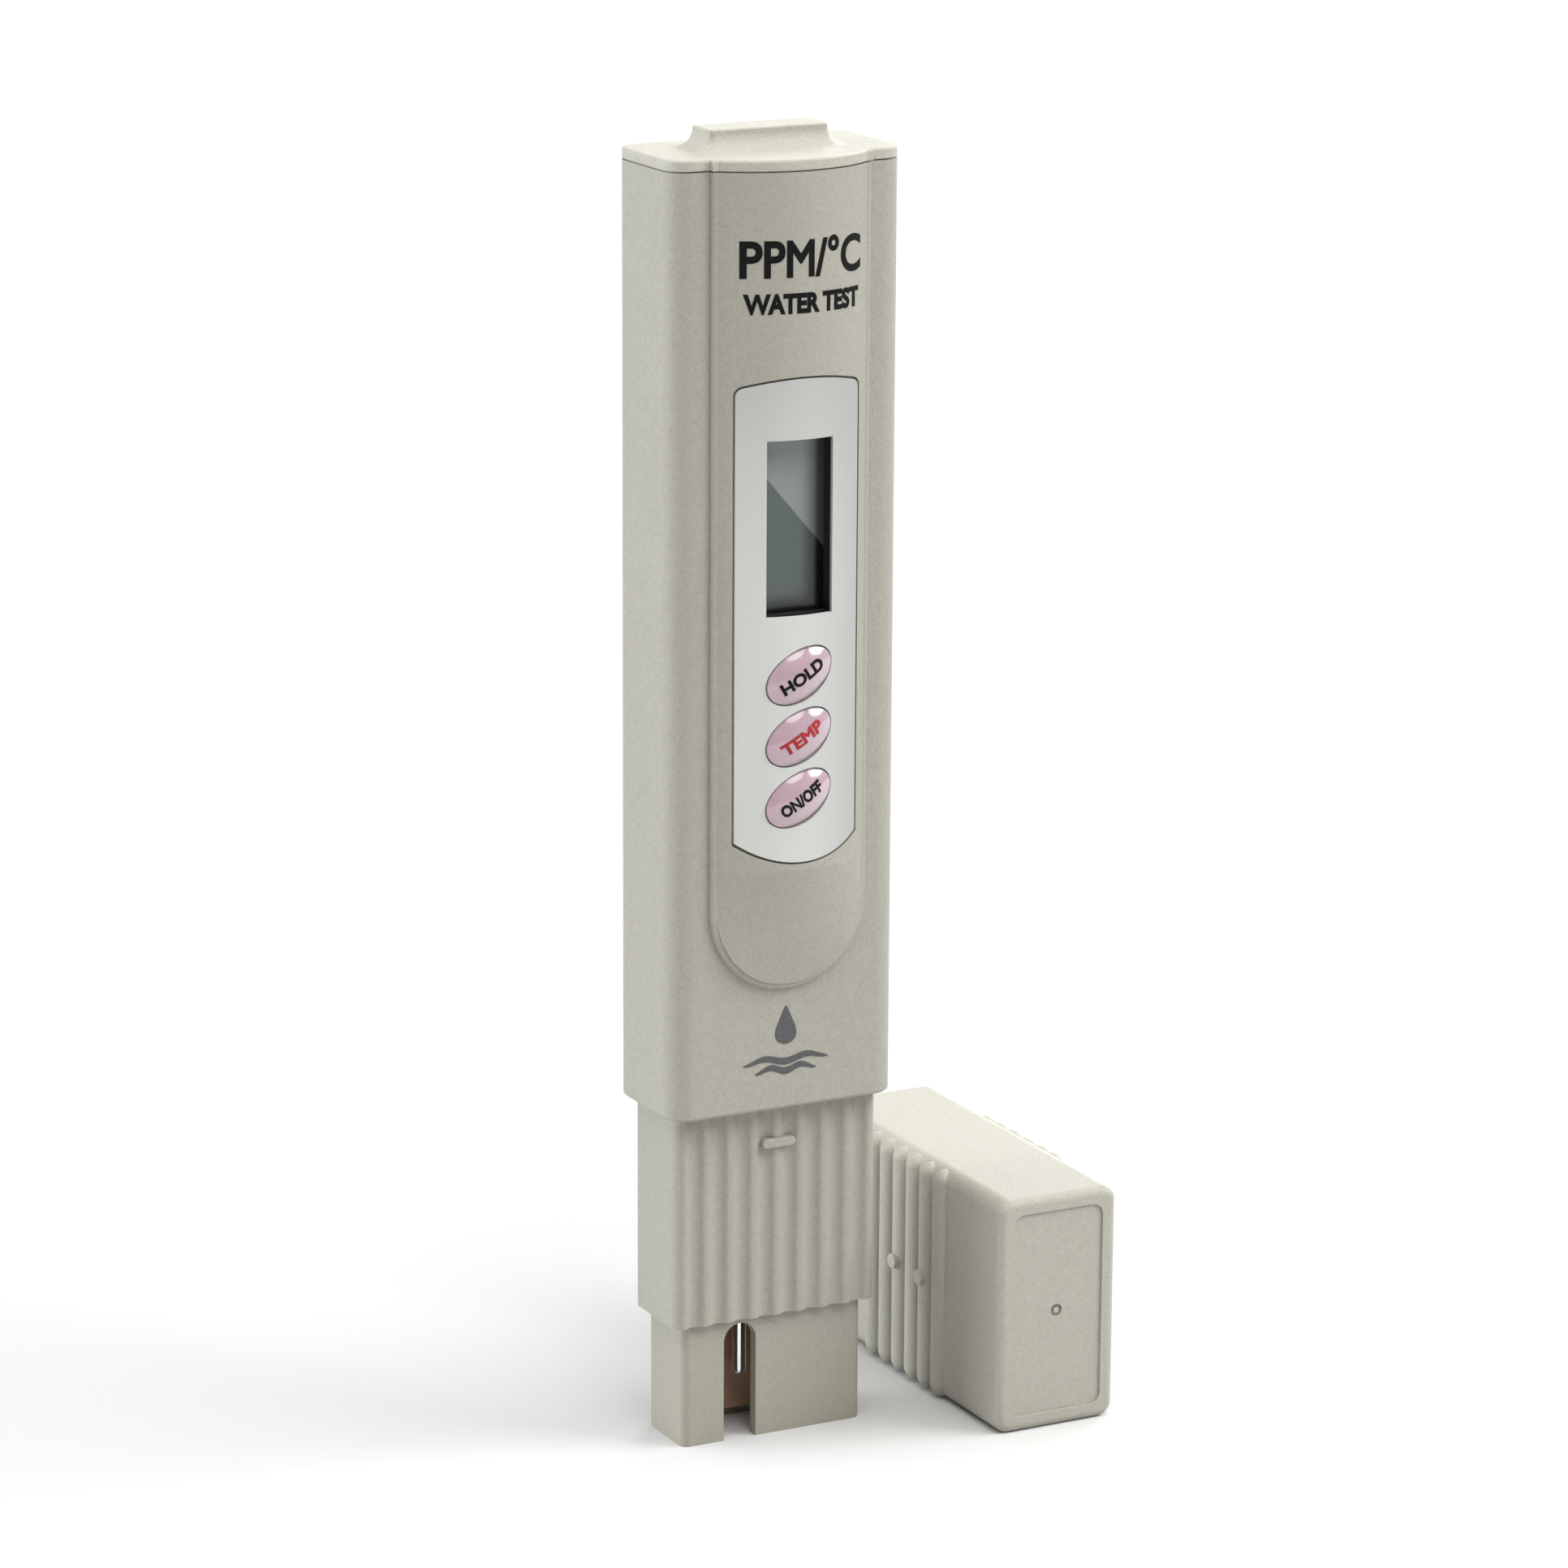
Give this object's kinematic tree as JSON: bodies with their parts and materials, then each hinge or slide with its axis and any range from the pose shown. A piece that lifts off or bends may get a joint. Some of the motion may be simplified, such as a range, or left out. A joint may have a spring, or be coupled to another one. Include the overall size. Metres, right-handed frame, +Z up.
{
  "type": "digital water tester",
  "caption": "Pen-type meter for dissolved solids and water temperature, with a display, press keys, a slotted probe and a pull-off protective cap lying beside it.",
  "frame": {"origin": "on the pen's axis, in the plane of the probe's open lower rim, which the pen stands on", "axes": "+Z up the pen, -Y towards the display and keys, +X to the pen's right"},
  "size_m": [0.0547, 0.044, 0.1542],
  "materials": {
    "body_plastic": "fine spark texture, satin",
    "cap_plastic": "fine spark texture, satin",
    "label_film": "satin printed film",
    "key_gel": "glossy translucent pink",
    "display_glass": "dark grey-green liquid crystal glass",
    "black_rubber": "matt black",
    "seal_rubber": "matt black",
    "insulator": "brown moulded insulator",
    "electrode_steel": "polished steel",
    "lead_red": "red lead sleeve",
    "lead_black": "black lead sleeve",
    "lead_white": "white lead sleeve",
    "board_laminate": "green circuit board lacquer",
    "black_epoxy": "black epoxy",
    "component_ceramic": "fired ceramic",
    "tinned_steel": "tinned steel",
    "switch_plastic": "black moulded",
    "plunger_plastic": "natural moulded",
    "trimmer_plastic": "blue moulded",
    "rotor_brass": "turned brass",
    "holder_plastic": "black moulded",
    "frame_plastic": "white moulded"
  },
  "bodies": {
    "meter": {"battery_front": "tinned_steel", "battery_holder": "holder_plastic", "battery_rear": "tinned_steel", "capacitors": "component_ceramic", "circuit_board": "board_laminate", "controller_chip": "black_epoxy", "crystal": "tinned_steel", "electrode_block": "insulator", "electrode_lead_left": "lead_red", "electrode_lead_right": "lead_black", "electrode_pin_left": "electrode_steel", "electrode_pin_right": "electrode_steel", "front_label": "label_film", "hold_switch": "switch_plastic", "lcd_frame": "frame_plastic", "lcd_front_glass": "display_glass", "lcd_gasket": "black_rubber", "lcd_rear_glass": "display_glass", "main_housing": "body_plastic", "negative_contact": "tinned_steel", "positive_contact": "tinned_steel", "power_switch": "switch_plastic", "probe_housing": "body_plastic", "probe_seal": "seal_rubber", "resistors": "black_epoxy", "temp_switch": "switch_plastic", "temperature_lead": "lead_white", "temperature_probe": "electrode_steel", "trimmer_body": "trimmer_plastic", "zebra_strip": "black_rubber"},
    "battery_cap": {"battery_cap": "body_plastic", "cap_gasket": "seal_rubber"},
    "hold_button": {"hold_key": "key_gel", "hold_plunger": "plunger_plastic"},
    "temp_button": {"temp_key": "key_gel", "temp_plunger": "plunger_plastic"},
    "power_button": {"power_key": "key_gel", "power_plunger": "plunger_plastic"},
    "trimmer_rotor": {"trimmer_screw": "rotor_brass"},
    "protective_cap": {"protective_cap": "cap_plastic"}
  },
  "joints": [
    {"name": "battery_cap_pull", "type": "slide", "parent": "meter", "child": "battery_cap", "axis": [0, 0, 1], "range_m": [0, 0.025]},
    {"name": "trimmer_turn", "type": "hinge", "parent": "meter", "child": "trimmer_rotor", "pos_m": [0, -0.0019, 0.07785], "axis": [0, 1, 0], "range_deg": [-135, 135]},
    {"name": "protective_cap_pull", "type": "slide", "parent": "meter", "child": "protective_cap", "axis": [0, -1, 0], "range_m": [0, 0.042]},
    {"name": "hold_press", "type": "slide", "parent": "meter", "child": "hold_button", "axis": [0, 1, 0], "range_m": [0, 0.0003], "stiffness_N_per_m": 800},
    {"name": "temp_press", "type": "slide", "parent": "meter", "child": "temp_button", "axis": [0, 1, 0], "range_m": [0, 0.0003], "stiffness_N_per_m": 800},
    {"name": "power_press", "type": "slide", "parent": "meter", "child": "power_button", "axis": [0, 1, 0], "range_m": [0, 0.0003], "stiffness_N_per_m": 800}
  ]
}
